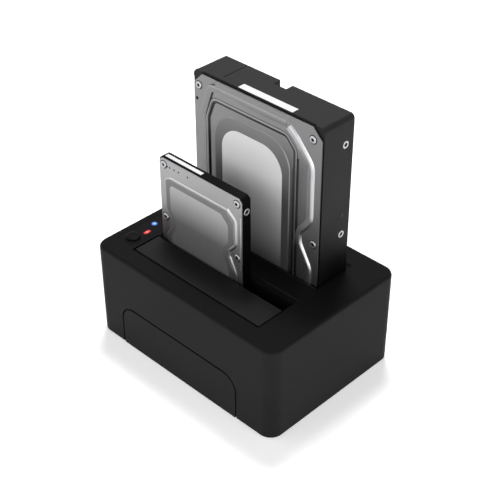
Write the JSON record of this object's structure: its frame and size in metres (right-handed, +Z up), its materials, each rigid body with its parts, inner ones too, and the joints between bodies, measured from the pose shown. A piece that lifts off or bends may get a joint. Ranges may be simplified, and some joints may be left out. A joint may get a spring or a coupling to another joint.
{
  "type": "hard drive dock",
  "caption": "Upright docking station with two sprung-flap bays, a large and a small disk drive standing in their sockets, a push button, light pipes and rear sockets.",
  "frame": {"origin": "on the table, under the centre of the case, level with the undersides of the rubber feet", "axes": "+X to the right along the front, +Y from the front panel to the back with the sockets, +Z up"},
  "size_m": [0.151, 0.108, 0.1707],
  "materials": {
    "case_plastic": "fine-grained matte black",
    "panel_plastic": "smooth satin black",
    "liner_plastic": "matte black",
    "flap_plastic": "matte black",
    "button_plastic": "semi-gloss black",
    "foot_rubber": "matte",
    "screw_steel": "zinc plated",
    "spring_steel": "bright drawn",
    "drive_screw_steel": "bright nickel plated",
    "blue_pipe": "clear blue moulding",
    "red_pipe": "clear red moulding",
    "lamp_resin": "clear resin on a white base",
    "board_laminate": "green lacquered laminate",
    "connector_plastic": "black moulded",
    "contact_metal": "gold flashed",
    "ribbon_plastic": "grey jacket with fine wires",
    "chip_resin": "moulded resin",
    "capacitor_sleeve": "drawn can",
    "ferrite": "sintered",
    "crystal_can": "bright can",
    "shell_metal": "nickel plated",
    "socket_core_plastic": "moulded",
    "rocker_plastic": "semi-gloss",
    "casting_metal": "black-coated cast aluminium",
    "cover_metal": "satin, lightly brushed",
    "gasket_foam": "foam",
    "label_film": "bare metallic film",
    "paper_label": "bare white paper",
    "drive_board_laminate": "green lacquered laminate"
  },
  "bodies": {
    "dock": {"upper_housing": "case_plastic", "base_plate": "case_plastic", "rubber_feet": "foot_rubber", "case_screws": "screw_steel", "front_panel": "panel_plastic", "control_plate": "panel_plastic", "clone_switch": "connector_plastic", "power_light_pipe": "blue_pipe", "activity_light_pipe": "red_pipe", "power_lamp": "lamp_resin", "activity_lamp": "lamp_resin", "panel_board": "board_laminate", "panel_board_screws": "screw_steel", "ribbon_headers": "connector_plastic", "panel_ribbon": "ribbon_plastic", "front_bay_liner": "liner_plastic", "rear_bay_liner": "liner_plastic", "liner_screws": "screw_steel", "front_hinge_pin": "spring_steel", "rear_hinge_pin": "spring_steel", "main_board": "board_laminate", "board_screws": "screw_steel", "bridge_chips": "chip_resin", "power_inductors": "ferrite", "power_capacitors": "capacitor_sleeve", "clock_crystal": "crystal_can", "front_drive_socket": "connector_plastic", "rear_drive_socket": "connector_plastic", "front_socket_contacts": "contact_metal", "rear_socket_contacts": "contact_metal", "usb_socket_shell": "shell_metal", "usb_socket_core": "socket_core_plastic", "power_socket": "connector_plastic", "power_socket_pin": "contact_metal", "power_switch_frame": "rocker_plastic"},
    "front_flap": {"front_bay_flap": "flap_plastic", "front_flap_spring": "spring_steel"},
    "rear_flap": {"rear_bay_flap": "flap_plastic", "rear_flap_spring": "spring_steel"},
    "clone_key": {"clone_button": "button_plastic", "clone_switch_plunger": "chip_resin"},
    "power_rocker": {"power_switch_rocker": "rocker_plastic"},
    "large_drive": {"large_drive_casting": "casting_metal", "large_drive_cover": "cover_metal", "large_drive_gasket": "gasket_foam", "large_drive_cover_screws": "drive_screw_steel", "large_drive_label": "label_film", "large_drive_end_label": "paper_label", "large_drive_board": "drive_board_laminate", "large_drive_board_screws": "drive_screw_steel", "large_drive_plug": "connector_plastic"},
    "small_drive": {"small_drive_casting": "casting_metal", "small_drive_cover": "cover_metal", "small_drive_gasket": "gasket_foam", "small_drive_cover_screws": "drive_screw_steel", "small_drive_label": "label_film", "small_drive_end_label": "paper_label", "small_drive_board": "drive_board_laminate", "small_drive_board_screws": "drive_screw_steel", "small_drive_plug": "connector_plastic"}
  },
  "joints": [
    {"name": "front_flap_hinge", "type": "hinge", "parent": "dock", "child": "front_flap", "pos_m": [-0.0004, -0.03955, 0.0648], "axis": [-1, 0, 0], "range_deg": [0, 88], "stiffness_Nm_per_rad": 0.002, "springref_deg": -34.38},
    {"name": "rear_flap_hinge", "type": "hinge", "parent": "dock", "child": "rear_flap", "pos_m": [-0.0004, 0.00725, 0.0648], "axis": [-1, 0, 0], "range_deg": [0, 1.2], "stiffness_Nm_per_rad": 0.002, "springref_deg": -120.32},
    {"name": "clone_button_press", "type": "slide", "parent": "dock", "child": "clone_key", "axis": [0, 0, -1], "range_m": [0, 0.0006], "stiffness_N_per_m": 200, "springref_m": -0.0006},
    {"name": "power_rocker_tilt", "type": "hinge", "parent": "dock", "child": "power_rocker", "pos_m": [0.052, 0.0483, 0.038], "axis": [-1, 0, 0], "range_deg": [0, 20]},
    {"name": "large_drive_lift", "type": "slide", "parent": "dock", "child": "large_drive", "axis": [0, 0, 1], "range_m": [0, 0.05]},
    {"name": "small_drive_lift", "type": "slide", "parent": "dock", "child": "small_drive", "axis": [0, 0, 1], "range_m": [0, 0.05]}
  ]
}
